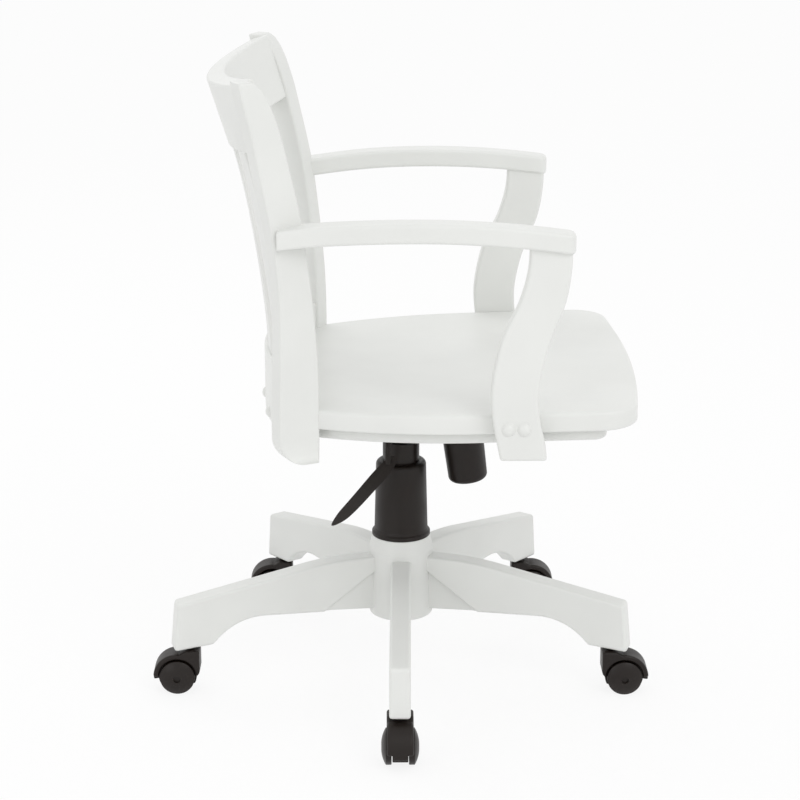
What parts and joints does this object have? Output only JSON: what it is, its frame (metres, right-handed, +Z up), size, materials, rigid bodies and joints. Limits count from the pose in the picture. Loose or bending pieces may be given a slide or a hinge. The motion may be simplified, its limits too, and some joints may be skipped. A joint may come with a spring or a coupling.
{
  "type": "swivel desk chair",
  "caption": "White wooden desk chair with arms and a bowed slat back, on a swivel, lift and tilt column over a legged base with hooded casters.",
  "frame": {"origin": "on the floor under the column axis", "axes": "+Z up along the column axis, the seat faces -Y, the sitter's right is -X"},
  "size_m": [0.6461, 0.6889, 0.8744],
  "materials": {
    "white_wood": "white satin paint on solid wood",
    "white_bolt": "white satin paint",
    "zinc_steel": "dull zinc plating",
    "black_steel": "black satin paint",
    "black_plastic": "fine satin",
    "wheel_plastic": "fine satin"
  },
  "bodies": {
    "base": {"base_hub": "white_wood", "base_leg_1": "white_wood", "base_leg_2": "white_wood", "base_leg_3": "white_wood", "base_leg_4": "white_wood", "base_leg_5": "white_wood", "leg_screws": "zinc_steel", "caster_sockets": "zinc_steel", "column_tube": "black_steel", "column_bush": "black_plastic", "column_cover": "black_plastic", "thrust_bearing": "zinc_steel"},
    "column": {"piston_rod": "zinc_steel"},
    "lift": {"gas_cylinder": "black_steel", "tilt_housing": "black_steel", "tilt_pin": "zinc_steel", "lever_pin": "zinc_steel"},
    "valve": {"valve_button": "black_plastic"},
    "lever": {"lever_rod": "black_steel", "lever_paddle": "black_plastic"},
    "seat": {"seat_plate": "black_steel", "plate_bolts": "zinc_steel", "seat_board": "white_wood", "apron_board": "white_wood", "back_stile_right": "white_wood", "back_stile_left": "white_wood", "crest_rail": "white_wood", "back_rail": "white_wood", "rail_bolts": "white_bolt", "back_slats": "white_wood", "arm_right": "white_wood", "arm_left": "white_wood", "arm_post_right": "white_wood", "arm_post_left": "white_wood", "post_bolts": "white_bolt", "arm_screws": "zinc_steel", "tension_bolt": "zinc_steel", "tension_spring": "zinc_steel"},
    "tension_nut": {"spring_washer": "zinc_steel"},
    "tension_grip": {"tension_knob": "black_plastic"},
    "caster_1": {"caster_hood_1": "black_plastic", "caster_pins_1": "zinc_steel"},
    "caster_1_wheel_a": {"wheel_1a": "wheel_plastic"},
    "caster_1_wheel_b": {"wheel_1b": "wheel_plastic"},
    "caster_2": {"caster_hood_2": "black_plastic", "caster_pins_2": "zinc_steel"},
    "caster_2_wheel_a": {"wheel_2a": "wheel_plastic"},
    "caster_2_wheel_b": {"wheel_2b": "wheel_plastic"},
    "caster_3": {"caster_hood_3": "black_plastic", "caster_pins_3": "zinc_steel"},
    "caster_3_wheel_a": {"wheel_3a": "wheel_plastic"},
    "caster_3_wheel_b": {"wheel_3b": "wheel_plastic"},
    "caster_4": {"caster_hood_4": "black_plastic", "caster_pins_4": "zinc_steel"},
    "caster_4_wheel_a": {"wheel_4a": "wheel_plastic"},
    "caster_4_wheel_b": {"wheel_4b": "wheel_plastic"},
    "caster_5": {"caster_hood_5": "black_plastic", "caster_pins_5": "zinc_steel"},
    "caster_5_wheel_a": {"wheel_5a": "wheel_plastic"},
    "caster_5_wheel_b": {"wheel_5b": "wheel_plastic"}
  },
  "joints": [
    {"name": "seat_swivel", "type": "hinge", "parent": "base", "child": "column", "pos_m": [0, 0, 0.09], "axis": [0, 0, 1], "continuous": true},
    {"name": "seat_lift", "type": "slide", "parent": "column", "child": "lift", "axis": [0, 0, 1], "range_m": [-0.015, 0.075]},
    {"name": "release_valve", "type": "slide", "parent": "lift", "child": "valve", "axis": [0, 0, -1], "range_m": [0, 0.003]},
    {"name": "release_lever", "type": "hinge", "parent": "lift", "child": "lever", "pos_m": [-0.033, 0.017, 0.383], "axis": [0, 1, 0], "range_deg": [0, 4], "stiffness_Nm_per_rad": 2, "springref_deg": -5.73},
    {"name": "seat_tilt", "type": "hinge", "parent": "lift", "child": "seat", "pos_m": [0, -0.036, 0.38], "axis": [-1, 0, 0], "range_deg": [0, 9], "stiffness_Nm_per_rad": 190, "springref_deg": -14.32, "deforming": ["tension_spring"]},
    {"name": "tension_nut_travel", "type": "slide", "parent": "seat", "child": "tension_nut", "axis": [0, 0.1305, 0.9914], "range_m": [-0.0045, 0]},
    {"name": "tension_turn", "type": "hinge", "parent": "tension_nut", "child": "tension_grip", "pos_m": [0, -0.0863, 0.34], "axis": [0, 0.1305, 0.9914], "range_deg": [-1080, 0]},
    {"name": "caster_1_swivel", "type": "hinge", "parent": "base", "child": "caster_1", "pos_m": [-0.30697, 0.00429, 0.065], "axis": [0, 0, 1], "continuous": true},
    {"name": "caster_1_roll_a", "type": "hinge", "parent": "caster_1", "child": "caster_1_wheel_a", "pos_m": [-0.32597, 0.00429, 0.024], "axis": [0, -1, 0], "continuous": true},
    {"name": "caster_1_roll_b", "type": "hinge", "parent": "caster_1", "child": "caster_1_wheel_b", "pos_m": [-0.32597, 0.00429, 0.024], "axis": [0, -1, 0], "continuous": true},
    {"name": "caster_2_swivel", "type": "hinge", "parent": "base", "child": "caster_2", "pos_m": [-0.09894, -0.29062, 0.065], "axis": [0, 0, 1], "continuous": true},
    {"name": "caster_2_roll_a", "type": "hinge", "parent": "caster_2", "child": "caster_2_wheel_a", "pos_m": [-0.09894, -0.30962, 0.024], "axis": [1, 0, 0], "continuous": true},
    {"name": "caster_2_roll_b", "type": "hinge", "parent": "caster_2", "child": "caster_2_wheel_b", "pos_m": [-0.09894, -0.30962, 0.024], "axis": [1, 0, 0], "continuous": true},
    {"name": "caster_3_swivel", "type": "hinge", "parent": "base", "child": "caster_3", "pos_m": [0.24582, -0.1839, 0.065], "axis": [0, 0, 1], "continuous": true},
    {"name": "caster_3_roll_a", "type": "hinge", "parent": "caster_3", "child": "caster_3_wheel_a", "pos_m": [0.24582, -0.2029, 0.024], "axis": [1, 0, 0], "continuous": true},
    {"name": "caster_3_roll_b", "type": "hinge", "parent": "caster_3", "child": "caster_3_wheel_b", "pos_m": [0.24582, -0.2029, 0.024], "axis": [1, 0, 0], "continuous": true},
    {"name": "caster_4_swivel", "type": "hinge", "parent": "base", "child": "caster_4", "pos_m": [0.25086, 0.17697, 0.065], "axis": [0, 0, 1], "continuous": true},
    {"name": "caster_4_roll_a", "type": "hinge", "parent": "caster_4", "child": "caster_4_wheel_a", "pos_m": [0.25086, 0.19597, 0.024], "axis": [-1, 0, 0], "continuous": true},
    {"name": "caster_4_roll_b", "type": "hinge", "parent": "caster_4", "child": "caster_4_wheel_b", "pos_m": [0.25086, 0.19597, 0.024], "axis": [-1, 0, 0], "continuous": true},
    {"name": "caster_5_swivel", "type": "hinge", "parent": "base", "child": "caster_5", "pos_m": [-0.09078, 0.29327, 0.065], "axis": [0, 0, 1], "continuous": true},
    {"name": "caster_5_roll_a", "type": "hinge", "parent": "caster_5", "child": "caster_5_wheel_a", "pos_m": [-0.09078, 0.31227, 0.024], "axis": [-1, 0, 0], "continuous": true},
    {"name": "caster_5_roll_b", "type": "hinge", "parent": "caster_5", "child": "caster_5_wheel_b", "pos_m": [-0.09078, 0.31227, 0.024], "axis": [-1, 0, 0], "continuous": true}
  ],
  "couplings": [
    {"joint": "tension_nut_travel", "follows": "tension_turn", "m_per_rad": 0.00023873},
    {"joint": "release_valve", "follows": "release_lever", "m_per_rad": 0.038}
  ]
}
